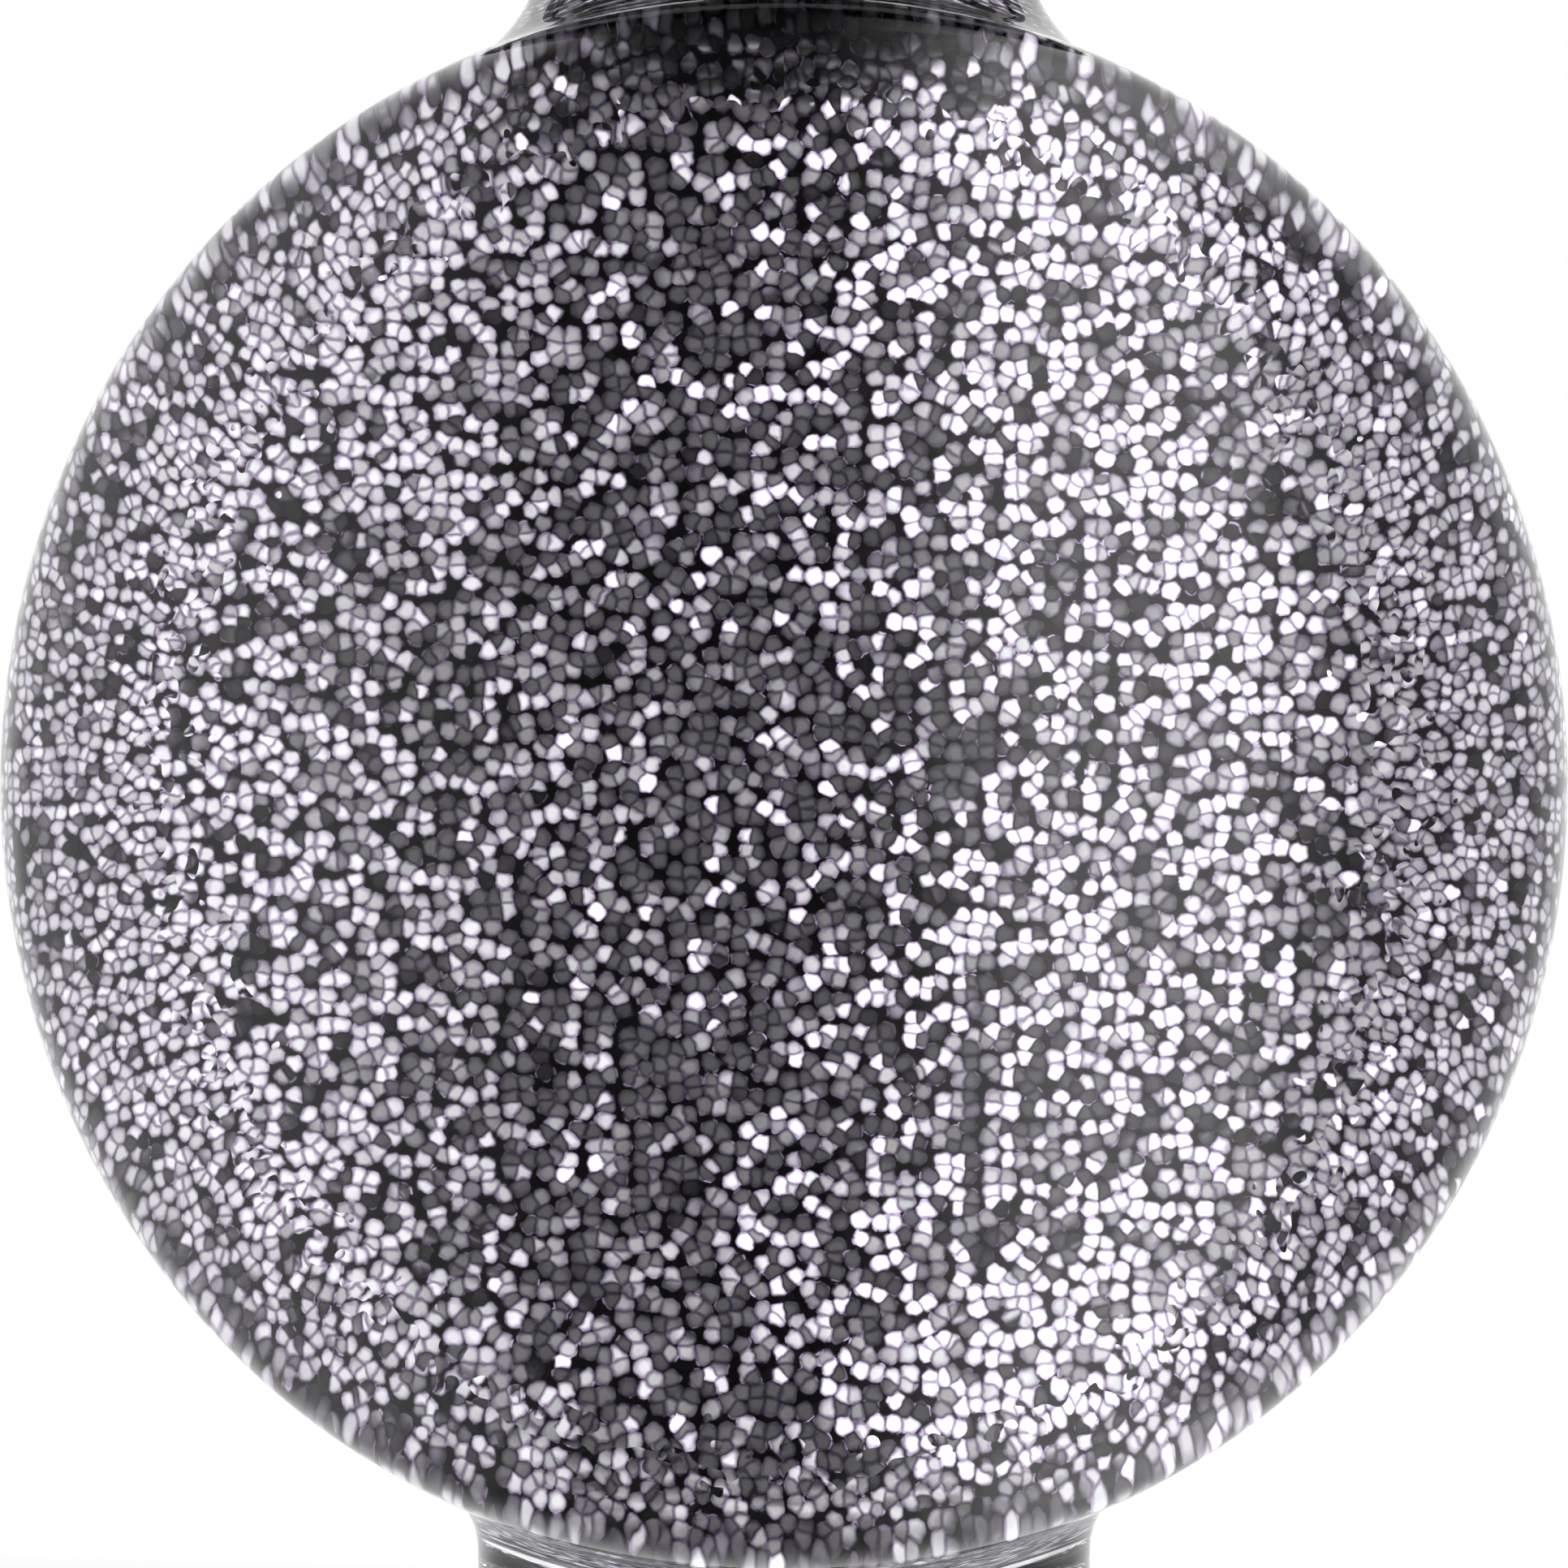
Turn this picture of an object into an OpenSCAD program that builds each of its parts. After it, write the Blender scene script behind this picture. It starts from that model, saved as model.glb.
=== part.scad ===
// Nail polish bottle: a round flask of clear glass with bowed faces, full of glitter polish,
// closed by a screw cap that carries the brush.
// Millimetres. +Z is up, the front face looks along -Y, and the origin lies on the resting
// plane, under the axis of the neck.

/* [Flask] */
// Diameter of the round outline seen from the front
flask_d = 37; // [34:0.5:42]
// Depth from the front face to the back face
flask_depth = 24.5; // [23:0.5:30]
// Depth at the left and right edges
edge_depth = 11; // [8:0.2:14]
// How much larger than the outline the ball is that eases the rims
rim_ease = 2.4; // [0.8:0.1:3]
// Thickness of the glass wall
glass_wall = 1.8; // [1.6:0.1:2.6]

/* [Foot] */
// Diameter of the round foot
foot_d = 14.5; // [12:0.5:18]
// Height of the foot below the round outline
foot_h = 1.2; // [0.8:0.1:3]
// Width of the ring that the foot rests on
foot_ring = 1.4; // [1:0.1:2]
// Depth of the recess under the foot
foot_recess = 0.4; // [0.3:0.05:0.8]
// Thickness of the paper label in the recess
label_t = 0.15; // [0.1:0.05:0.25]

/* [Neck] */
// Outer diameter of the neck under its thread
neck_d = 11.4; // [11:0.1:12.6]
// Diameter of the bore through the neck
bore_d = 6.6; // [6:0.1:7.6]
// Height of the neck above the round outline
neck_h = 11.3; // [10.8:0.1:14]
// Radius of the hollow flare from flask to neck
flare_r = 5; // [4.6:0.1:6]
// How far the flare climbs the neck above the outline
flare_rise = 2; // [1.6:0.1:2.4]
// How far the flare reaches down into the flask
flare_drop = 2; // [1.6:0.1:2.2]

/* [Thread] */
// Rise of the thread in one turn
thread_pitch = 2.1; // [1.9:0.05:2.4]
// Turns of thread on the neck
neck_turns = 1.5; // [1.25:0.25:1.75]
// Turns of thread in the cap
cap_turns = 1.25; // [0.75:0.25:1.5]
// How far the thread stands out of the neck
thread_h = 0.75; // [0.5:0.05:0.85]
// Width of a thread at its foot
thread_foot_w = 1; // [0.8:0.05:1.1]
// Width of a thread at its crest
thread_crest_w = 0.5; // [0.4:0.05:0.6]
// Distance from the rim down to the thread
thread_start = 1.2; // [0.8:0.1:1.6]
// Gap from each crest to the wall that it faces
thread_gap = 0.25; // [0.2:0.05:0.4]

/* [Cap] */
// Height of the outer cap
cap_h = 33; // [28:0.5:42]
// Wall of the outer cap
cap_wall = 1.1; // [1:0.05:1.8]
// Thickness of the top of the outer cap
cap_top = 1.6; // [1.4:0.1:2.6]
// Radius of the top edge of the outer cap
cap_edge_r = 1.2; // [0.6:0.1:1.3]
// Bare neck left between the outline and the cap
bare_neck = 2.4; // [1.8:0.1:3.2]
// Locating ribs inside the outer cap
cap_ribs = 6; // [3:1:8]
// Thickness of a locating rib
cap_rib_t = 0.8; // [0.6:0.1:1.2]

/* [Inner cap] */
// Wall of the threaded sleeve
inner_wall = 0.8; // [0.7:0.05:1.2]
// Thickness of the plate over the neck
inner_plate = 1.2; // [1:0.1:1.8]
// Grip ribs round the sleeve
grip_ribs = 18; // [12:2:24]
// How far the grip ribs stand out of the sleeve
grip_rib_h = 0.25; // [0.2:0.05:0.4]
// Wall of the socket that holds the brush
boss_wall = 1.2; // [1:0.1:1.8]
// Thickness of the end of that socket
boss_end = 0.8; // [0.6:0.1:1.4]

/* [Brush] */
// Diameter of the stem below its flange
stem_d = 4; // [3.6:0.1:4.6]
// Diameter of the stem at its tip
stem_tip_d = 3.6; // [3.4:0.1:4]
// Thickness of the flange
flange_t = 0.9; // [0.7:0.1:1.4]
// Diameter of the plug that the inner cap holds
plug_d = 4.6; // [4:0.1:5.4]
// Length of the plug
plug_l = 4.5; // [3.5:0.1:6]
// How far the bead that keeps the washer stands out of the stem
bead_h = 0.4; // [0.3:0.05:0.6]
// Diameter of the bristle socket in the tip
socket_d = 2.7; // [2.5:0.1:2.9]
// Depth of the bristle socket
socket_l = 5; // [4:0.5:7]
// Free length of the bristles
bristle_l = 13; // [10:0.5:16]
// How many times wider the tuft is at its end than at the stem
tuft_spread = 1.2; // [1:0.05:1.35]
// Rounding of the end of the tuft
tuft_dome = 1.2; // [0.5:0.1:2]
// Rings of strands round the middle strand
tuft_rings = 10; // [10:1:12]
// Radius of a strand at its corners
strand_r = 0.045; // [0.035:0.005:0.05]
// Width of the metal anchor in the root of the tuft
anchor_w = 2; // [1.6:0.1:2.2]
// Thickness of the anchor
anchor_t = 0.35; // [0.25:0.05:0.5]
// Height of the anchor
anchor_h = 1.8; // [1.2:0.1:2.4]

/* [Contents] */
// Diameter of a mixing ball
ball_d = 4; // [3:0.1:4.4]
// Free way between each ball's rest and the middle
ball_middle = 0.5; // [0.3:0.1:1]
// How far each ball can roll
ball_travel = 3.4; // [2:0.1:3.6]
// How far the polish stands up in the neck above the outline
neck_fill = 0.4; // [0:0.1:1.6]

/* [Seal and gaps] */
// Thickness of the sealing washer
washer_t = 0.8; // [0.5:0.1:1.5]
// Gap between pieces pressed or glued together
press_gap = 0.03; // [0.02:0.01:0.06]
// Gap between pieces that turn or slide on each other
run_gap = 0.1; // [0.08:0.02:0.2]
// Gap between the polish and the glass
film_gap = 0.08; // [0.05:0.01:0.15]
// Gap between the polish and what moves in it
dip_gap = 0.35; // [0.3:0.05:0.5]

/* [Hidden] */
$fn = 96;

// How far cutting shapes run past what they cut
past = 1;
// How deep a ridge or rib is rooted in its wall
bury = 0.4;
// Straight pieces of thread in one turn, and in the run-out at each end
thread_steps = 24;
thread_fade = 4;

// Flask
flask_r = flask_d / 2;
flask_z = foot_h + flask_r;
flask_top = flask_z + flask_r;
bow_depth = (flask_depth - edge_depth) / 2;
bow_r = (flask_r * flask_r + bow_depth * bow_depth) / (2 * bow_depth);
bow_y = bow_r - flask_depth / 2;
cavity_floor = foot_h + glass_wall;

// Foot
foot_r = foot_d / 2;
foot_top = foot_h + flask_r - sqrt(flask_r * flask_r - foot_r * foot_r) + bury;
recess_r = foot_r - foot_ring;

// Neck
neck_r = neck_d / 2;
bore_r = bore_d / 2;
rim_z = flask_top + neck_h;
thread_r = neck_r + thread_h;
thread_z = rim_z - thread_start - thread_foot_w / 2 - neck_turns * thread_pitch;

// Stack on the rim: washer, flange, plate
washer_z = rim_z + press_gap;
flange_z = washer_z + washer_t + press_gap;
plate_z = flange_z + flange_t + press_gap;
plate_top = plate_z + inner_plate;

// Cap
cap_z = flask_top + bare_neck;
cap_end = cap_z + cap_h;
sleeve_r = thread_r + thread_gap;
sleeve_out_r = sleeve_r + inner_wall;
cap_bore_r = sleeve_out_r + grip_rib_h + press_gap;
cap_r = cap_bore_r + cap_wall;

// Brush
stem_r = stem_d / 2;
stem_tip_r = stem_tip_d / 2;
plug_r = plug_d / 2;
flange_r = neck_r;
boss_r = plug_r + press_gap + boss_wall;
boss_top = plate_z + plug_l + press_gap + boss_end;
brush_end = cavity_floor + ball_d + run_gap + 2 * dip_gap;
stem_end = brush_end + bristle_l;
bead_z = washer_z - run_gap;
root_r = socket_d / 2 - press_gap;
root_top = stem_end + socket_l - press_gap;
strand_step = (root_r - strand_r - press_gap) / tuft_rings;
tuft_end_r = tuft_spread * (tuft_rings * strand_step) + strand_r;

// Contents
ball_r = ball_d / 2;
ball_z = cavity_floor + film_gap + ball_r;
ball_y = ball_middle + ball_r;
well_r = max(stem_r, tuft_end_r) + dip_gap;
polish_top = flask_top + neck_fill;

// Round flask with both faces bowed about the vertical axis, set in from its outer skin.
module flask_form(inset) {
    translate([0, 0, flask_z])
        intersection() {
            rotate([90, 0, 0])
                cylinder(r = flask_r - inset, h = flask_depth + 2 * past, center = true);
            bowed_face(bow_y, inset);
            bowed_face(-bow_y, inset);
            sphere(r = flask_r + rim_ease - inset);
        }
}

// Upright cylinder whose near side is one of the bowed faces.
module bowed_face(y, inset) {
    translate([0, y, 0])
        cylinder(r = bow_r - inset, h = flask_d + 2 * past, center = true);
}

// Hollow flare between the flask and the neck.
module neck_flare() {
    reach = flare_r - sqrt(flare_r * flare_r - pow(flare_rise + flare_drop, 2));
    translate([0, 0, flask_top - flare_drop])
        rotate_extrude()
            difference() {
                square([neck_r + reach, flare_drop + flare_rise]);
                translate([neck_r + flare_r, flare_drop + flare_rise])
                    circle(r = flare_r);
            }
}

// Tube between two radii.
module tube(outer_r, inner_r, h) {
    difference() {
        cylinder(r = outer_r, h = h);
        translate([0, 0, -past])
            cylinder(r = inner_r, h = h + 2 * past);
    }
}

// Screw thread of one start, rooted in its wall, that runs out at both ends.
// A crest smaller than the root makes a thread that points inwards.
module thread(root_r, crest_r, turns, z) {
    steps = round(thread_steps * turns);
    inwards = crest_r < root_r;
    hidden_r = root_r + (inwards ? -bury / 2 : bury / 2);
    points = [
        for (i = [0 : steps])
            let (
                angle = 360 * turns * i / steps,
                mid_z = z + thread_pitch * turns * i / steps,
                full = min(1, i / thread_fade, (steps - i) / thread_fade),
                tip_r = hidden_r + full * (crest_r - hidden_r)
            )
            for (corner = [
                [root_r, -thread_foot_w / 2],
                [tip_r, -thread_crest_w / 2],
                [tip_r, thread_crest_w / 2],
                [root_r, thread_foot_w / 2]
            ])
                [corner[0] * cos(angle), corner[0] * sin(angle), mid_z + corner[1]]
    ];
    sides = [
        for (i = [0 : steps - 1], k = [0 : 3])
            let (a = 4 * i + k, b = 4 * i + (k + 1) % 4)
            each [[a, b, b + 4], [a, b + 4, a + 4]]
    ];
    last = 4 * steps;
    ends = [[0, 2, 1], [0, 3, 2], [last, last + 1, last + 2], [last, last + 2, last + 3]];
    faces = concat(sides, ends);
    polyhedron(points, inwards ? [for (f = faces) [f[2], f[1], f[0]]] : faces);
}

// Places of the strands: a middle strand and rings of six, twelve and so on round it.
function strand_places() = [
    for (q = [-tuft_rings : tuft_rings])
        for (s = [max(-tuft_rings, -q - tuft_rings) : min(tuft_rings, tuft_rings - q)])
            [strand_step * (q + s / 2), strand_step * s * sqrt(3) / 2]
];

// All the free strands, three-sided, straight and spreading a little towards the end.
module strands() {
    places = strand_places();
    points = [
        for (p = places)
            let (
                off_axis = norm(p) / (tuft_rings * strand_step),
                end_z = brush_end + tuft_dome * off_axis * off_axis
            )
            for (level = [[1, stem_end + bury], [tuft_spread, end_z]], k = [0 : 2])
                [
                    level[0] * p[0] + strand_r * cos(120 * k),
                    level[0] * p[1] + strand_r * sin(120 * k),
                    level[1]
                ]
    ];
    faces = [
        for (i = [0 : len(places) - 1])
            let (a = 6 * i)
            each [
                [a, a + 1, a + 2], [a + 3, a + 5, a + 4],
                [a, a + 3, a + 4], [a, a + 4, a + 1],
                [a + 1, a + 4, a + 5], [a + 1, a + 5, a + 2],
                [a + 2, a + 5, a + 3], [a + 2, a + 3, a]
            ]
    ];
    polyhedron(points, [for (f = faces) [f[2], f[1], f[0]]]);
}

module glass_bottle() {
    color([0.82, 0.9, 0.93, 0.45])
        difference() {
            union() {
                flask_form(0);
                cylinder(r = foot_r, h = foot_top);
                neck_flare();
                translate([0, 0, flask_z])
                    cylinder(r = neck_r, h = rim_z - flask_z);
                thread(neck_r - bury, thread_r, neck_turns, thread_z);
            }
            flask_form(glass_wall);
            translate([0, 0, flask_z])
                cylinder(r = bore_r, h = rim_z - flask_z + past);
            translate([0, 0, -past])
                cylinder(r = recess_r, h = foot_recess + past);
        }
}

module polish() {
    color([0.62, 0.61, 0.65])
        difference() {
            union() {
                flask_form(glass_wall + film_gap);
                translate([0, 0, flask_z])
                    cylinder(r = bore_r - film_gap, h = polish_top - flask_z);
            }
            translate([0, 0, brush_end - dip_gap])
                cylinder(r = well_r, h = flask_d);
            for (side = [-1, 1])
                ball_run(side);
        }
}

// Room in the polish for one ball to roll in.
module ball_run(side) {
    r = ball_r + run_gap;
    for (y = [ball_y, ball_y + ball_travel])
        translate([0, side * y, ball_z])
            sphere(r = r);
    translate([0, side * (ball_y + ball_travel / 2), ball_z])
        rotate([90, 0, 0])
            cylinder(r = r, h = ball_travel, center = true);
}

module mixing_ball(side) {
    color("silver")
        translate([0, side * ball_y, ball_z])
            sphere(r = ball_r);
}

module base_label() {
    color("white")
        translate([0, 0, foot_recess - press_gap - label_t])
            cylinder(r = recess_r - run_gap, h = label_t);
}

module sealing_washer() {
    color("gainsboro")
        translate([0, 0, washer_z])
            tube(neck_r, stem_r + run_gap, washer_t);
}

module inner_cap() {
    color("whitesmoke")
        difference() {
            union() {
                translate([0, 0, cap_z])
                    tube(sleeve_out_r, sleeve_r, plate_top - cap_z);
                translate([0, 0, plate_z])
                    cylinder(r = sleeve_r + inner_wall / 2, h = inner_plate);
                translate([0, 0, plate_z])
                    cylinder(r = boss_r, h = boss_top - plate_z);
                thread(sleeve_r + bury, neck_r + thread_gap, cap_turns, thread_z - thread_pitch / 2);
                for (i = [0 : grip_ribs - 1])
                    rotate(360 * i / grip_ribs)
                        translate([sleeve_out_r - bury, -grip_rib_h, cap_z])
                            cube([bury + grip_rib_h, 2 * grip_rib_h, plate_top - cap_z]);
            }
            translate([0, 0, plate_z - past])
                cylinder(r = plug_r + press_gap, h = past + plug_l + press_gap);
        }
}

module outer_cap() {
    color([0.06, 0.06, 0.07])
        union() {
            difference() {
                cap_skin();
                translate([0, 0, cap_z - past])
                    cylinder(r = cap_bore_r, h = cap_h - cap_top + past);
            }
            for (i = [0 : cap_ribs - 1])
                rotate(360 * i / cap_ribs)
                    translate([boss_r + dip_gap, -cap_rib_t / 2, plate_top + press_gap])
                        cube([
                            cap_bore_r + bury - boss_r - dip_gap,
                            cap_rib_t,
                            cap_end - cap_top + bury - plate_top - press_gap
                        ]);
        }
}

// Outside of the cap, with its rounded top edge.
module cap_skin() {
    translate([0, 0, cap_z])
        rotate_extrude()
            difference() {
                square([cap_r, cap_h]);
                translate([cap_r - cap_edge_r, cap_h - cap_edge_r])
                    difference() {
                        square(cap_edge_r + past);
                        circle(r = cap_edge_r);
                    }
            }
}

module brush_stem() {
    color([0.12, 0.12, 0.13])
        difference() {
            rotate_extrude()
                polygon([
                    [0, stem_end],
                    [stem_tip_r, stem_end],
                    [stem_r, bead_z - 2 * bead_h],
                    [stem_r + bead_h, bead_z],
                    [stem_r, bead_z],
                    [stem_r, flange_z],
                    [flange_r, flange_z],
                    [flange_r, flange_z + flange_t],
                    [plug_r, flange_z + flange_t],
                    [plug_r, plate_z + plug_l],
                    [0, plate_z + plug_l]
                ]);
            translate([0, 0, stem_end - past])
                cylinder(r = socket_d / 2, h = socket_l + past);
        }
}

module bristles() {
    color([0.16, 0.16, 0.17])
        resize([0, 0, 0])
            difference() {
                union() {
                    translate([0, 0, stem_end])
                        cylinder(r = root_r, h = root_top - stem_end, $fn = 36);
                    strands();
                }
                translate([0, 0, root_top])
                    cube([
                        anchor_w + 2 * press_gap,
                        anchor_t + 2 * press_gap,
                        2 * (anchor_h + press_gap)
                    ], center = true);
            }
}

module bristle_anchor() {
    color("gold")
        translate([0, 0, root_top - anchor_h / 2])
            cube([anchor_w, anchor_t, anchor_h], center = true);
}

glass_bottle();
polish();
mixing_ball(-1);  // mixing_ball_1
mixing_ball(1);  // mixing_ball_2
base_label();
sealing_washer();
inner_cap();
outer_cap();
brush_stem();
bristles();
bristle_anchor();
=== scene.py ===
"""Looks of a round nail polish bottle: clear glass, silver glitter polish, gloss black cap and brush."""

import math

import bmesh
import bpy
import numpy as np
from mathutils import Matrix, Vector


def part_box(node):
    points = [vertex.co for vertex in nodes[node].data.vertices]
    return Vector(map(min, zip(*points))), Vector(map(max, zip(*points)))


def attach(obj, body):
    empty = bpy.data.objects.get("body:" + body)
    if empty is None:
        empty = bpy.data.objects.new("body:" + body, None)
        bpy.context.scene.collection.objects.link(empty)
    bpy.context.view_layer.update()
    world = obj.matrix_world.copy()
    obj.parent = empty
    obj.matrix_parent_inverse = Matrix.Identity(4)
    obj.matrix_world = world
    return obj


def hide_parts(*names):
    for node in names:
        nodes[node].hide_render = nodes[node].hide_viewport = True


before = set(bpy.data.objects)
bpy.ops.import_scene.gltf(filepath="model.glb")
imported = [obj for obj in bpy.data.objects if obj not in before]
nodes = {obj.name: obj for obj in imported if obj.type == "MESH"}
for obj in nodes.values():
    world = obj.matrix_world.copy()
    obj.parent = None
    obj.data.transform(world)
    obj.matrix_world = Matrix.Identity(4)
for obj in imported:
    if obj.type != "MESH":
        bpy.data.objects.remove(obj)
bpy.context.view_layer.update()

MM = 0.001
scene = bpy.context.scene

# Sizes that the solids give
glass_low, glass_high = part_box("glass_bottle")
label_low, label_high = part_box("base_label")
tuft_low, tuft_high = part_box("bristles")
POLISH_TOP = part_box("polish")[1].z
STEM_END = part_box("brush_stem")[0].z

# Flask
FLASK_R = min(-glass_low.x, glass_high.x)
HALF_DEPTH = min(-glass_low.y, glass_high.y)
FOOT_H = 1.2 * MM
FLASK_Z = FOOT_H + FLASK_R
FLASK_TOP = FLASK_Z + FLASK_R
EDGE_DEPTH = 11 * MM
BOW_DEPTH = HALF_DEPTH - EDGE_DEPTH / 2
BOW_R = (FLASK_R**2 + BOW_DEPTH**2) / (2 * BOW_DEPTH)
BOW_Y = BOW_R - HALF_DEPTH
RIM_EASE = 2.4 * MM
GLASS_WALL = 1.8 * MM
CAVITY_TOP = FLASK_TOP - GLASS_WALL
# How softly the faces of the flask run into each other
EASE_SOFT = 1.4 * MM
OUTER_SOFT = 3 * MM
INNER_SOFT = 5 * MM

# Foot and neck
FOOT_R = 7.25 * MM
FOOT_RING = 1.4 * MM
FOOT_RECESS = 0.4 * MM
FOOT_EDGE = 0.45 * MM
FOOT_SOFT = 1.1 * MM
NECK_R = 5.7 * MM
BORE_R = 3.3 * MM
RIM_Z = glass_high.z
RIM_EDGE = 0.6 * MM
NECK_SOFT = 2.6 * MM
BORE_SOFT = 1 * MM
# Heights that lie just past a soft run: where the neck's flare ends, and where the bore ends
FLARE_TOP = FLASK_TOP + NECK_SOFT + 0.1 * MM
BORE_FOOT = CAVITY_TOP + BORE_SOFT + 0.1 * MM
BORE_START = RIM_Z - 2 * MM

# Thread on the neck
THREAD_PITCH = 2.1 * MM
THREAD_TURNS = 1.5
THREAD_FADE = 1 / 6
THREAD_H = 0.75 * MM
THREAD_FOOT = 1 * MM
THREAD_CREST = 0.5 * MM
THREAD_BELOW_RIM = 1.2 * MM
THREAD_Z = RIM_Z - THREAD_BELOW_RIM - THREAD_FOOT / 2 - THREAD_TURNS * THREAD_PITCH

# Polish
WETTED = 0.04 * MM
MENISCUS = 0.15 * MM
WELL_R = 2.35 * MM
WELL_START = POLISH_TOP - MENISCUS
WELL_END = tuft_low.z - 0.35 * MM
BALL_GAP = 0.1 * MM
BALL_WAY = 3.4 * MM

# Glitter: pitch of the flakes and of the smaller ones below them, and how far places are pushed about
FLAKE = 0.375 * MM
DEEP = 0.21 * MM
WARP = 0.12 * MM
# Shift of the smaller flakes' pattern in metres, so that the two patterns have nothing in common
DEEP_SHIFT = (0.31, 0.17, 0.0)
# In pitches: half a flake's width, what chance and clumping add to it, where the painted shade of the gaps
# begins, width of a seam.
# A seam is the darker line of painted shade where two flakes touch.
FLAKE_SIZE = 0.435
FLAKE_VARY = 0.16
CLUMP = 0.12
GAP_FROM = 0.55
SEAM = 0.22
# Soft edges in pitches: of a flake, of a smaller one and of a gap, and the fall-off of painted shading
# across a flake, from its bright middle to its darker edge
FLAKE_SOFT = (-0.17, 0.07)
DEEP_SOFT = (0.25, 0.56)
GAP_SOFT = 0.12
SHADE_FALL_OFF = (0.2, 0.55)
# Share of a flake from which the surface leans with it
ON_FLAKE = 0.04
# How irregularly the flakes lie, from 0 to 1
SCATTER = 0.85
DEEP_SCATTER = 1.0
# How far the flakes lean: all of them, the few steep ones, the smaller ones, and whole patches
LEAN = 0.24
STEEP = 1.2
DEEP_LEAN = 0.4
SWIRL = 0.24
# How rare the steep flakes and the bright smaller ones are, as powers of chance
STEEP_RARE = 4.0
DEEP_RARE = 1.5
FLAKE_ROUGH = 0.15
DEEP_ROUGH = 0.3
# Sizes of the patterns that push places, clump the flakes, turn whole patches and roughen the rim's border
PUSH_SIZE = 0.22 * MM
CLUMP_SIZE = 2.2 * MM
SWIRL_SIZE = 6 * MM
RAGGED_SIZE = 0.5 * MM
# The rim is where the surface faces front or back by less than this, with the raggedness added
RIM_FACING = 0.45
RAGGED = 0.5
# Brightest and dullest flake, painted shade at a flake's edge, painted shade of a seam, darkest and
# brightest smaller flake, painted shade of a gap
FLAKE_TINT = (0.975, 0.97, 1.0)
FLAKE_DULL = (0.89, 0.875, 0.935)
FLAKE_EDGE_SHADE = (0.565, 0.5, 0.635)
SEAM_SHADE = (0.3, 0.25, 0.36)
DEEP_DARK = (0.075, 0.046, 0.096)
DEEP_LIGHT = (0.82, 0.66, 0.95)
GAP_SHADE = (0.004, 0.0033, 0.0055)

# Tuft of the brush
TUFT_RINGS = 10
TUFT_ROOT_R = 1.32 * MM
TUFT_ROOT_SIDES = 36
TUFT_EDGE = 0.03 * MM
TUFT_SPREAD = 1.2
TUFT_DOME = 1.2 * MM
STRAND_R = 0.045 * MM
STRAND_SIDES = 6
STRAND_LEVELS = 6
STRAND_TAPER = 0.35
STRAND_START = STEM_END + 0.4 * MM
STRAND_STEP = (TUFT_ROOT_R - STRAND_R - TUFT_EDGE) / TUFT_RINGS

# Floor
FLOOR_HALF = 3.0
FLOOR_DROP = 0.02 * MM
FLOOR_GREY = 0.8
FLOOR_GLOW = 0.43

# Brightness of the studio by the angle to the side, right positive
STUDIO = [
    (-90, 1.1), (-64, 1.15), (-48, 1.02), (-34, 0.5), (-22, 0.12), (-8, 0.08), (3, 0.09), (11, 0.4),
    (19, 1.25), (26, 2.05), (44, 2.05), (51, 0.95), (58, 0.45), (70, 0.42), (90, 0.85),
]
STUDIO_PEAK = 2.5
# White wall behind: where it begins and is whole, where it dims to its sides, and how far
WALL_FROM = (0.2, 0.8)
WALL_SIDES = (0.4, 0.75)
WALL_DIM = 0.65

# Camera
LENS = 400
SENSOR = 36

# Points round every turned shape
AROUND = 192
TURN = np.linspace(0, 2 * math.pi, AROUND, endpoint=False)

# Distances under which points are one point: in a new mesh, and in a solid that is carried over
SAME_POINT = 1e-7
WELD_REACH = 1e-6


def soft_max(a, b, reach):
    """Larger of two fields, rounded where they come within reach of each other."""
    near = np.clip(1 - np.abs(a - b) / reach, 0, 1)
    return np.maximum(a, b) + near * near * reach / 4


def soft_min(a, b, reach):
    return -soft_max(-a, -b, reach)


def flask_field(x, y, z, inset, soft):
    """Below zero inside the flask, with z counted from its middle."""
    disc = np.hypot(x, z) - (FLASK_R - inset)
    ball = np.sqrt(x * x + y * y + z * z) - (FLASK_R + RIM_EASE - inset)
    front = np.hypot(x, y - BOW_Y) - (BOW_R - inset)
    back = np.hypot(x, y + BOW_Y) - (BOW_R - inset)
    eased = soft_max(disc, ball, EASE_SOFT)
    return soft_max(soft_max(eased, front, soft), back, soft)


def outer_field(x, y, z):
    off_axis = np.hypot(x, y)
    flask = flask_field(x, y, z, 0, OUTER_SOFT)
    neck = np.maximum(off_axis - NECK_R, -z)
    foot = np.maximum(off_axis - FOOT_R, z)
    return soft_min(soft_min(flask, neck, NECK_SOFT), foot, FOOT_SOFT)


def cavity_field(x, y, z, larger=0):
    flask = flask_field(x, y, z, GLASS_WALL - larger, INNER_SOFT)
    bore = np.maximum(np.hypot(x, y) - BORE_R - larger, -z)
    return soft_min(flask, bore, BORE_SOFT)


def polish_field(x, y, z):
    return cavity_field(x, y, z, WETTED)


def down_angle(radius, z):
    """Angle in degrees, from straight down, of a point as the middle of the flask sees it."""
    return math.degrees(math.atan2(radius, FLASK_Z - z))


def star_rows(field, down_angles):
    """Rows of points where rays from the middle of the flask leave the field.
    Angles are counted from straight down, in degrees."""
    tilt = np.radians(np.asarray(down_angles))[:, None]
    way_x = np.sin(tilt) * np.cos(TURN)
    way_y = np.sin(tilt) * np.sin(TURN)
    way_z = -np.cos(tilt) * np.ones_like(TURN)
    low = np.zeros_like(way_x)
    high = np.full_like(way_x, 2 * FLASK_R)
    for _ in range(40):
        middle = (low + high) / 2
        outside = field(way_x * middle, way_y * middle, way_z * middle) > 0
        high = np.where(outside, middle, high)
        low = np.where(outside, low, middle)
    return np.stack([way_x * low, way_y * low, way_z * low + FLASK_Z], axis=2)


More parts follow.
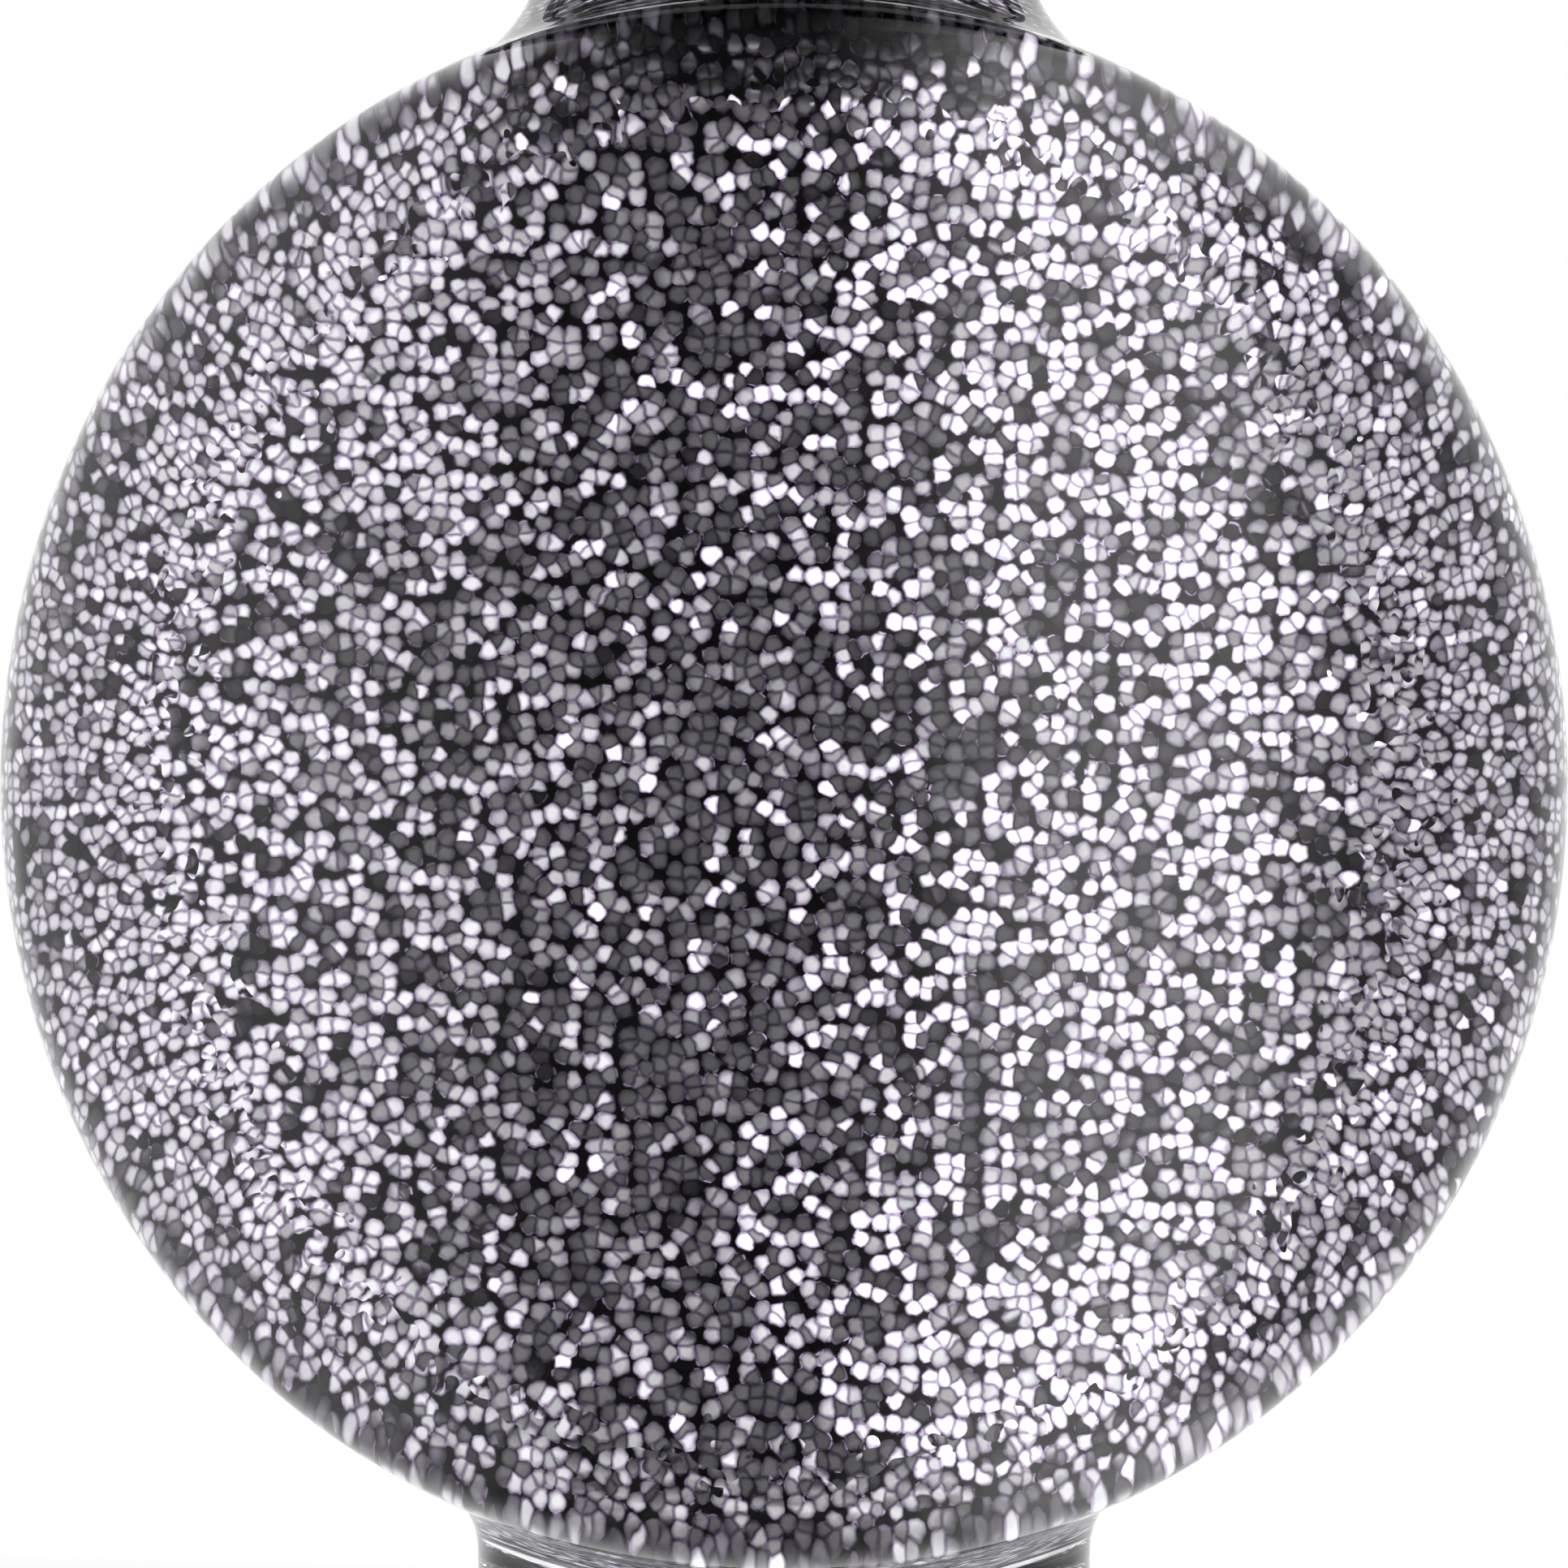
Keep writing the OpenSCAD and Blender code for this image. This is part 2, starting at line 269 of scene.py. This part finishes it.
def turned_rows(outline):
    """Rows of a turned shape from its (radius, height) outline."""
    outline = np.asarray(outline, float)
    x = outline[:, :1] * np.cos(TURN)
    y = outline[:, :1] * np.sin(TURN)
    z = outline[:, 1:] * np.ones_like(TURN)
    return np.stack([x, y, z], axis=2)


def arc(middle_r, middle_z, radius, start, end, steps):
    """Points on an arc of an outline, with angles in degrees from outwards, up positive."""
    return [
        (middle_r + radius * math.cos(a), middle_z + radius * math.sin(a))
        for a in np.radians(np.linspace(start, end, steps))
    ]


def thread_rows(heights):
    """Rows of the neck wall with its screw thread."""
    z = np.asarray(heights)[:, None]
    radius = np.full((len(heights), AROUND), NECK_R)
    for lap in range(math.ceil(THREAD_TURNS)):
        turns = TURN / (2 * math.pi) + lap
        run_out = np.clip(np.minimum(turns, THREAD_TURNS - turns) / THREAD_FADE, 0, 1)
        off = np.abs(z - (THREAD_Z + THREAD_PITCH * turns))
        flank = np.clip((THREAD_FOOT / 2 - off) / ((THREAD_FOOT - THREAD_CREST) / 2), 0, 1)
        radius = np.maximum(radius, NECK_R + THREAD_H * run_out * flank)
    return np.stack([radius * np.cos(TURN), radius * np.sin(TURN), z * np.ones_like(TURN)], axis=2)


def add_piece(name, mesh, material, body, slot, *replaced):
    """Links a finished mesh as a piece that rides on a body."""
    mesh.materials.append(material)
    piece = bpy.data.objects.new(name, mesh)
    scene.collection.objects.link(piece)
    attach(piece, body)
    if replaced:
        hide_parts(*replaced)
    return piece


def make_smooth(mesh):
    mesh.polygons.foreach_set("use_smooth", [True] * len(mesh.polygons))


def mesh_from_rows(name, rows):
    """Closed smooth mesh of stacked rows, whose first and last row may shrink to a point."""
    rows = np.concatenate(rows)
    faces = []
    for i in range(len(rows) - 1):
        for j in range(AROUND):
            k = (j + 1) % AROUND
            faces.append((i * AROUND + j, i * AROUND + k, (i + 1) * AROUND + k, (i + 1) * AROUND + j))
    mesh = bpy.data.meshes.new(name)
    mesh.from_pydata([tuple(p) for p in rows.reshape(-1, 3)], [], faces)
    shape = bmesh.new()
    shape.from_mesh(mesh)
    bmesh.ops.remove_doubles(shape, verts=shape.verts, dist=SAME_POINT)
    bmesh.ops.recalc_face_normals(shape, faces=shape.faces)
    shape.to_mesh(mesh)
    shape.free()
    make_smooth(mesh)
    return mesh


class Nodes:
    """Short way to write a node tree."""

    def __init__(self, tree):
        self.tree = tree
        tree.nodes.clear()

    def add(self, kind, **settings):
        node = self.tree.nodes.new("ShaderNode" + kind)
        for key, value in settings.items():
            setattr(node, key, value)
        return node

    def wire(self, value, socket):
        """Feeds a socket from another socket, or sets its own value."""
        if isinstance(value, bpy.types.NodeSocket):
            self.tree.links.new(value, socket)
        else:
            socket.default_value = value

    def fed(self, node, *values):
        """Outputs of a node whose first inputs are fed in order."""
        for value, socket in zip(values, node.inputs):
            self.wire(value, socket)
        return node.outputs

    def math(self, operation, *values):
        return self.fed(self.add("Math", operation=operation), *values)[0]

    def vector(self, operation, *values):
        return self.fed(self.add("VectorMath", operation=operation), *values)[0]

    def scaled(self, vector, factor):
        node = self.add("VectorMath", operation="SCALE")
        self.wire(vector, node.inputs[0])
        self.wire(factor, node.inputs["Scale"])
        return node.outputs[0]

    def ramp(self, value, low, high, to_low=0.0, to_high=1.0):
        node = self.add("MapRange", interpolation_type="SMOOTHSTEP")
        return self.fed(node, value, low, high, to_low, to_high)[0]

    def mix(self, factor, a, b):
        node = self.add("Mix", data_type="RGBA")
        self.wire(factor, node.inputs["Factor"])
        self.wire(a, node.inputs["A"])
        self.wire(b, node.inputs["B"])
        return node.outputs["Result"]

    def mix_vector(self, factor, a, b):
        node = self.add("Mix", data_type="VECTOR")
        self.wire(factor, node.inputs["Factor"])
        self.wire(a, node.inputs[4])
        self.wire(b, node.inputs[5])
        return node.outputs[1]

    def flat_cells(self, feature, where, size, randomness):
        node = self.add("TexVoronoi", feature=feature, voronoi_dimensions="2D")
        self.wire(where, node.inputs["Vector"])
        node.inputs["Scale"].default_value = 1 / size
        node.inputs["Randomness"].default_value = randomness
        return node.outputs

    def cells(self, where, size, randomness):
        """Flat cells of about a size, as (distance from the cell's middle, random colour)."""
        outputs = self.flat_cells("F1", where, size, randomness)
        return outputs["Distance"], outputs["Color"]

    def cell_edge(self, where, size, randomness):
        """Distance from the border of the same cells."""
        return self.flat_cells("DISTANCE_TO_EDGE", where, size, randomness)["Distance"]

    def noise(self, where, size, detail=2.0, output="Fac"):
        node = self.add("TexNoise", noise_dimensions="3D")
        self.wire(where, node.inputs["Vector"])
        node.inputs["Scale"].default_value = 1 / size
        node.inputs["Detail"].default_value = detail
        return node.outputs[output]

    def about_zero(self, colour, amount):
        """Random colour turned into a random vector, as likely one way as the other."""
        return self.scaled(self.vector("SUBTRACT", colour, (0.5, 0.5, 0.5)), amount)

    def bump(self, height, strength, depth):
        node = self.add("Bump")
        node.inputs["Strength"].default_value = strength
        node.inputs["Distance"].default_value = depth
        self.wire(height, node.inputs["Height"])
        return node.outputs[0]


def new_material(name):
    material = bpy.data.materials.new(name)
    material.use_nodes = True
    tree = Nodes(material.node_tree)
    surface = tree.add("BsdfPrincipled")
    out = tree.add("OutputMaterial")
    tree.wire(surface.outputs[0], out.inputs["Surface"])
    where = tree.add("TexCoord").outputs["Object"]
    return material, tree, surface.inputs, where


def rgba(r, g, b):
    return (r, g, b, 1.0)


def lying_flat(tree, where):
    """Place on the polish in two directions: across and up on its faces, round and across on its rim.
    The border between the two is ragged, so that no line shows."""
    x, y, z = tree.fed(tree.add("SeparateXYZ"), where)
    on_face = tree.fed(tree.add("CombineXYZ"), x, z)[0]
    turn = tree.math("ARCTAN2", x, tree.math("SUBTRACT", FLASK_Z, z))
    on_rim = tree.fed(tree.add("CombineXYZ"), tree.math("MULTIPLY", turn, FLASK_R), y)[0]
    facing = tree.fed(tree.add("SeparateXYZ"), tree.add("NewGeometry").outputs["Normal"])[1]
    border = tree.math("MULTIPLY_ADD", tree.noise(where, RAGGED_SIZE, 0.0), RAGGED, RIM_FACING)
    is_rim = tree.math("LESS_THAN", tree.math("ABSOLUTE", facing), border)
    return tree.mix_vector(is_rim, on_face, on_rim)


def glitter_material():
    """Silver flakes that lie nearly flat, over smaller and dimmer violet-grey ones, with painted shade in
    the dark gaps and seams between them and painted shading from each flake's middle to its edge.
    """
    material, tree, skin, where = new_material("glitter_polish")
    push = tree.about_zero(tree.noise(where, PUSH_SIZE, 0.0, "Color"), WARP)
    flat = tree.vector("ADD", lying_flat(tree, where), push)
    far, hue = tree.cells(flat, FLAKE, SCATTER)
    deep_far, deep_hue = tree.cells(tree.vector("ADD", flat, DEEP_SHIFT), DEEP, DEEP_SCATTER)
    chance = tree.fed(tree.add("TexWhiteNoise", noise_dimensions="3D"), hue)["Color"]
    size_luck, lean_luck, tint_luck = tree.fed(tree.add("SeparateColor"), chance)
    deep_luck = tree.fed(tree.add("SeparateColor"), deep_hue)[2]

    clumped = tree.math("MULTIPLY_ADD", tree.noise(where, CLUMP_SIZE), CLUMP, FLAKE_SIZE)
    size = tree.math("MULTIPLY_ADD", size_luck, FLAKE_VARY, clumped)
    is_flake = tree.ramp(tree.math("SUBTRACT", far, size), *FLAKE_SOFT, 1.0, 0.0)
    is_deep = tree.ramp(deep_far, *DEEP_SOFT, 1.0, 0.0)
    # Painted shade: places far from every flake's middle go dark, as the gaps between the flakes.
    is_gap_shade = tree.ramp(far, GAP_FROM, GAP_FROM + GAP_SOFT)

    steep = tree.math("MULTIPLY_ADD", tree.math("POWER", lean_luck, STEEP_RARE), STEEP, LEAN)
    on_flake = tree.math("GREATER_THAN", is_flake, ON_FLAKE)
    tilt = tree.mix_vector(on_flake, tree.about_zero(deep_hue, DEEP_LEAN), tree.about_zero(hue, steep))
    drift = tree.about_zero(tree.noise(where, SWIRL_SIZE, 2.0, "Color"), SWIRL)
    level = tree.add("NewGeometry").outputs["Normal"]
    leaning = tree.vector("ADD", level, tree.vector("ADD", tilt, drift))
    tree.wire(tree.vector("NORMALIZE", leaning), skin["Normal"])

    small = tree.mix(tree.math("POWER", deep_luck, DEEP_RARE), rgba(*DEEP_DARK), rgba(*DEEP_LIGHT))
    # Painted shade: near-black wherever neither a flake nor a smaller flake lies.
    deep = tree.mix(is_gap_shade, tree.mix(is_deep, rgba(*GAP_SHADE), small), rgba(*GAP_SHADE))
    bright = tree.mix(tint_luck, rgba(*FLAKE_DULL), rgba(*FLAKE_TINT))
    # Painted shading: each flake is brightest in its middle and darker towards its edge, as a soft-edged
    # glint.
    rounded = tree.mix(tree.ramp(far, *SHADE_FALL_OFF), bright, rgba(*FLAKE_EDGE_SHADE))
    # Painted shade: a darker line along the seam where two flakes touch.
    off_seam_shade = tree.ramp(tree.cell_edge(flat, FLAKE, SCATTER), 0.0, SEAM)
    top = tree.mix(off_seam_shade, rgba(*SEAM_SHADE), rounded)
    tree.wire(tree.mix(is_flake, deep, top), skin["Base Color"])
    tree.wire(tree.ramp(is_flake, 0.0, 1.0, DEEP_ROUGH, FLAKE_ROUGH), skin["Roughness"])
    skin["Metallic"].default_value = 1.0
    return material


def glass_material():
    """Clear moulded glass with the faint waviness of its mould."""
    material, tree, skin, where = new_material("clear_glass")
    skin["Base Color"].default_value = rgba(0.985, 0.995, 0.99)
    skin["Transmission Weight"].default_value = 1.0
    skin["IOR"].default_value = 1.5
    wave = tree.noise(where, 9 * MM, 1.0)
    tree.wire(tree.bump(wave, 0.12, 0.1 * MM), skin["Normal"])
    tree.wire(tree.ramp(tree.noise(where, 3 * MM), 0.5, 0.8, 0.0, 0.012), skin["Roughness"])
    return material


def gloss_black():
    """Gloss black moulded plastic with faint handling haze."""
    material, tree, skin, where = new_material("cap_black")
    haze = tree.noise(where, 5 * MM, 5.0)
    tree.wire(tree.mix(haze, rgba(0.004, 0.004, 0.0045), rgba(0.008, 0.008, 0.009)), skin["Base Color"])
    tree.wire(tree.ramp(haze, 0.35, 0.75, 0.035, 0.11), skin["Roughness"])
    skin["IOR"].default_value = 1.48
    tree.wire(tree.bump(tree.noise(where, 1.6 * MM, 2.0), 0.05, 0.03 * MM), skin["Normal"])
    return material


def plain_material(name, dark, light, grain, rough_low, rough_high, metallic=0.0):
    """Moulded, pressed or paper surface with a fine grain."""
    material, tree, skin, where = new_material(name)
    fine = tree.noise(where, grain, 4.0)
    tree.wire(tree.mix(fine, rgba(*dark), rgba(*light)), skin["Base Color"])
    tree.wire(tree.ramp(fine, 0.3, 0.7, rough_low, rough_high), skin["Roughness"])
    skin["Metallic"].default_value = metallic
    tree.wire(tree.bump(fine, 0.3, 0.03 * MM), skin["Normal"])
    return material


GLITTER = glitter_material()
GLASS = glass_material()
CAP_BLACK = gloss_black()
PAPER = plain_material("label_paper", (0.86, 0.86, 0.84), (0.93, 0.93, 0.91), 0.25 * MM, 0.75, 0.9)
FOAM = plain_material("seal_foam", (0.82, 0.82, 0.8), (0.9, 0.9, 0.88), 0.3 * MM, 0.7, 0.85)
INNER = plain_material("inner_plastic", (0.86, 0.86, 0.84), (0.9, 0.9, 0.88), 0.8 * MM, 0.35, 0.5)
STEM = plain_material("stem_plastic", (0.022, 0.022, 0.024), (0.034, 0.034, 0.036), 0.8 * MM, 0.3, 0.45)
NYLON = plain_material("nylon", (0.04, 0.04, 0.042), (0.07, 0.07, 0.072), 0.6 * MM, 0.3, 0.45)
STEEL = plain_material("ball_steel", (0.6, 0.6, 0.61), (0.72, 0.72, 0.73), 0.5 * MM, 0.12, 0.25, 1.0)
BRASS = plain_material("anchor_brass", (0.68, 0.52, 0.25), (0.78, 0.62, 0.32), 0.4 * MM, 0.25, 0.4, 1.0)


def foot_outline():
    """Underside of the foot: recess, resting ring and outer edge."""
    recess_r = FOOT_R - FOOT_RING
    inner_edge = FOOT_EDGE / 2
    outline = [(0, FOOT_RECESS), (0.6 * recess_r, FOOT_RECESS), (recess_r - inner_edge, FOOT_RECESS)]
    outline += arc(recess_r + inner_edge, inner_edge, inner_edge, 180, 270, 5)
    outline += arc(FOOT_R - FOOT_EDGE, FOOT_EDGE, FOOT_EDGE, -90, 0, 8)
    return outline


def make_glass():
    """Flask, foot, neck and thread outside, bore and cavity inside, as one skin of glass.
    Rows lie closer where the belly meets the foot, the neck and the bore."""
    row_gap = 0.15 * MM
    foot_angle = down_angle(FOOT_R, FOOT_EDGE + row_gap)
    foot_end = foot_angle + 6
    neck_angle = down_angle(NECK_R, FLARE_TOP)
    neck_start = neck_angle - 14
    belly = np.concatenate([
        np.linspace(foot_angle, foot_end, 24, endpoint=False),
        np.linspace(foot_end, neck_start, 130, endpoint=False),
        np.linspace(neck_start, neck_angle, 36),
    ])
    neck = np.arange(FLARE_TOP + row_gap, RIM_Z - RIM_EDGE, 0.14 * MM)
    lip = arc(NECK_R - RIM_EDGE, RIM_Z - RIM_EDGE, RIM_EDGE, 0, 90, 8)
    lip += arc(BORE_R + RIM_EDGE, RIM_Z - RIM_EDGE, RIM_EDGE, 90, 180, 8)
    bore = [(BORE_R, z) for z in np.linspace(BORE_START, BORE_FOOT, 8)]
    bore_angle = down_angle(BORE_R, BORE_FOOT)
    bore_end = bore_angle - 8
    cavity = np.concatenate([
        np.linspace(bore_angle - 0.3, bore_end, 30, endpoint=False),
        np.linspace(bore_end, 0, 120),
    ])
    rows = [
        turned_rows(foot_outline()),
        star_rows(outer_field, belly),
        thread_rows(neck),
        turned_rows(lip + bore),
        star_rows(cavity_field, cavity),
    ]
    mesh = mesh_from_rows("flask_glass", rows)
    return add_piece("flask_glass", mesh, GLASS, "bottle", "clear_glass", "glass_bottle")


def hollow_run(mesh, low, high, side):
    """Hollow in the polish, as long as a ball's way along Y."""
    middle = (low + high) / 2
    radius = (high.z - low.z) / 2 + BALL_GAP
    shape = bmesh.new()
    shape.from_mesh(mesh)
    place = Matrix.Translation(middle) @ Matrix.Rotation(math.pi / 2, 4, "X")
    made = bmesh.ops.create_uvsphere(shape, u_segments=40, v_segments=24, radius=radius, matrix=place)
    ball = made["verts"]
    for vert in ball:
        if (vert.co.y - middle.y) * side > SAME_POINT:
            vert.co.y += side * BALL_WAY
    bmesh.ops.reverse_faces(shape, faces=list({face for vert in ball for face in vert.link_faces}))
    shape.to_mesh(mesh)
    shape.free()
    make_smooth(mesh)


def make_polish():
    """Polish that wets the whole cavity, with the well that the brush stands in."""
    column_r = BORE_R + WETTED
    shoulder = 150
    skin = np.concatenate([
        np.linspace(0, shoulder, 130, endpoint=False),
        np.linspace(shoulder, down_angle(column_r, BORE_FOOT), 50),
    ])
    well = [(column_r, POLISH_TOP)]
    well += arc(column_r - MENISCUS, POLISH_TOP, MENISCUS, 0, -90, 5)
    well += [(WELL_R, WELL_START)]
    well += [(WELL_R, z) for z in np.linspace(WELL_START - 1 * MM, WELL_END, 12)]
    well += [(0, WELL_END)]
    mesh = mesh_from_rows("polish_fill", [star_rows(polish_field, skin), turned_rows(well)])
    for node, side in (("mixing_ball_1", -1), ("mixing_ball_2", 1)):
        hollow_run(mesh, *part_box(node), side)
    return add_piece("polish_fill", mesh, GLITTER, "bottle", "glitter_polish", "polish")


def make_disc(name, low, high, edge, material, body, slot, node):
    """Thin round disc with eased edges."""
    radius = high.x
    outline = [(0, low.z), (0.5 * radius, low.z)]
    outline += arc(radius - edge, low.z + edge, edge, -90, 0, 5)
    outline += arc(radius - edge, high.z - edge, edge, 0, 90, 5)
    outline += [(0.5 * radius, high.z), (0, high.z)]
    return add_piece(name, mesh_from_rows(name, [turned_rows(outline)]), material, body, slot, node)


def add_hoop(shape, x, y, z, radius, sides):
    """Ring of points, level, round a place."""
    turns = np.linspace(0, 2 * math.pi, sides, endpoint=False)
    return [shape.verts.new((x + radius * math.cos(a), y + radius * math.sin(a), z)) for a in turns]


def join_hoops(shape, hoops):
    """Closed tube through rings of points, given from the top down."""
    sides = len(hoops[0])
    for upper, lower in zip(hoops, hoops[1:]):
        for k in range(sides):
            m = (k + 1) % sides
            shape.faces.new((upper[k], lower[k], lower[m], upper[m]))
    shape.faces.new(hoops[0])
    shape.faces.new(list(reversed(hoops[-1])))


def add_strand(shape, x, y):
    """One strand, which leans out and thins towards its end. The ends together make a dome."""
    off_axis = math.hypot(x, y) / (TUFT_RINGS * STRAND_STEP)
    end_z = tuft_low.z + TUFT_DOME * off_axis**2
    hoops = []
    for level in range(STRAND_LEVELS + 1):
        t = level / STRAND_LEVELS
        wide = 1 + (TUFT_SPREAD - 1) * t * t
        z = STRAND_START + t * (end_z - STRAND_START)
        radius = STRAND_R * (1 - STRAND_TAPER * t**4)
        hoops.append(add_hoop(shape, wide * x, wide * y, z, radius, STRAND_SIDES))
    join_hoops(shape, hoops)


def make_bristles():
    """Nylon tuft: strands in rings round a middle one, on their fused root."""
    shape = bmesh.new()
    for q in range(-TUFT_RINGS, TUFT_RINGS + 1):
        for s in range(max(-TUFT_RINGS, -q - TUFT_RINGS), min(TUFT_RINGS, TUFT_RINGS - q) + 1):
            add_strand(shape, STRAND_STEP * (q + s / 2), STRAND_STEP * s * math.sqrt(3) / 2)
    root = [add_hoop(shape, 0, 0, z, TUFT_ROOT_R, TUFT_ROOT_SIDES) for z in (tuft_high.z, STEM_END)]
    join_hoops(shape, root)
    mesh = bpy.data.meshes.new("bristle_tuft")
    shape.to_mesh(mesh)
    shape.free()
    return add_piece("bristle_tuft", mesh, NYLON, "cap_and_brush", "nylon", "bristles")


def dress(node, material, edge=0.0):
    """Gives a carried-over solid its finish, and eases its edges."""
    thing = nodes[node]
    thing.data.materials.clear()
    thing.data.materials.append(material)
    if edge:
        thing.modifiers.new("join", "WELD").merge_threshold = WELD_REACH
        ease = thing.modifiers.new("ease", "BEVEL")
        ease.width = edge
        ease.segments = 3
        ease.limit_method = "ANGLE"
        ease.angle_limit = math.radians(40)
        thing.modifiers.new("shade", "WEIGHTED_NORMAL").weight = 50


def make_floor():
    """Pale floor that keeps the shadow and shows as white to the camera."""
    mesh = bpy.data.meshes.new("floor")
    half = FLOOR_HALF
    corners = [(-half, -half, 0), (half, -half, 0), (half, half, 0), (-half, half, 0)]
    mesh.from_pydata(corners, [], [(0, 1, 2, 3)])
    floor = bpy.data.objects.new("floor", mesh)
    floor.location.z = -FLOOR_DROP
    floor.visible_glossy = False
    floor.visible_transmission = False
    scene.collection.objects.link(floor)
    material = bpy.data.materials.new("floor")
    material.use_nodes = True
    tree = Nodes(material.node_tree)
    paint = tree.add("BsdfDiffuse")
    paint.inputs["Color"].default_value = rgba(FLOOR_GREY, FLOOR_GREY, FLOOR_GREY)
    glow = tree.add("Emission")
    to_camera = tree.add("LightPath").outputs["Is Camera Ray"]
    tree.wire(tree.math("MULTIPLY", to_camera, FLOOR_GLOW), glow.inputs["Strength"])
    both = tree.fed(tree.add("AddShader"), paint.outputs[0], glow.outputs[0])[0]
    tree.wire(both, tree.add("OutputMaterial").inputs["Surface"])
    mesh.materials.append(material)


def make_studio():
    """Bands that run from the front over the top: a dark middle and one soft bright strip.
    White behind and dimmer to its sides, and plain white to the camera."""
    world = bpy.data.worlds.new("studio")
    scene.world = world
    world.use_nodes = True
    tree = Nodes(world.node_tree)
    aside, backwards, _ = tree.fed(tree.add("SeparateXYZ"), tree.add("TexCoord").outputs["Generated"])
    angle = tree.math("ARCSINE", aside)
    share = tree.math("ADD", tree.math("DIVIDE", angle, math.pi), 0.5)
    strip = tree.add("ValToRGB")
    strip.color_ramp.interpolation = "EASE"
    stops = strip.color_ramp.elements
    while len(stops) < len(STUDIO):
        stops.new(0.5)
    for stop, (degrees, value) in zip(stops, STUDIO):
        stop.position = degrees / 180 + 0.5
        grey = value / STUDIO_PEAK
        stop.color = rgba(grey, grey, grey)
    tree.wire(share, strip.inputs["Fac"])
    bands = tree.scaled(strip.outputs["Color"], STUDIO_PEAK)
    behind = tree.ramp(backwards, *WALL_FROM)
    back_wall = tree.ramp(tree.math("ABSOLUTE", aside), *WALL_SIDES, 1.0, WALL_DIM)
    light = tree.mix(behind, bands, back_wall)
    seen = tree.mix(tree.add("LightPath").outputs["Is Camera Ray"], light, rgba(1, 1, 1))
    back = tree.add("Background")
    tree.wire(seen, back.inputs["Color"])
    tree.wire(back.outputs[0], tree.add("OutputWorld").inputs["Surface"])


def make_camera(glass):
    """Straight in front of the round field, so close that its sides touch the frame."""
    data = bpy.data.cameras.new("camera")
    data.lens = LENS
    data.sensor_width = SENSOR
    data.clip_start = 1 * MM
    camera = bpy.data.objects.new("camera", data)
    scene.collection.objects.link(camera)
    slope = SENSOR / (2 * LENS)
    camera.location = (0, min(v.co.y - abs(v.co.x) / slope for v in glass.data.vertices), FLASK_Z)
    camera.rotation_euler = (math.pi / 2, 0, 0)
    scene.camera = camera


flask_glass = make_glass()
make_polish()
make_disc("label_disc", label_low, label_high, 0.03 * MM, PAPER, "bottle", "label_paper", "base_label")
make_bristles()
dress("outer_cap", CAP_BLACK, 0.15 * MM)
dress("inner_cap", INNER)
dress("sealing_washer", FOAM, 0.1 * MM)
dress("brush_stem", STEM, 0.08 * MM)
dress("bristle_anchor", BRASS, 0.05 * MM)
dress("mixing_ball_1", STEEL)
dress("mixing_ball_2", STEEL)

make_floor()
make_studio()
make_camera(flask_glass)
scene.view_settings.view_transform = "Standard"
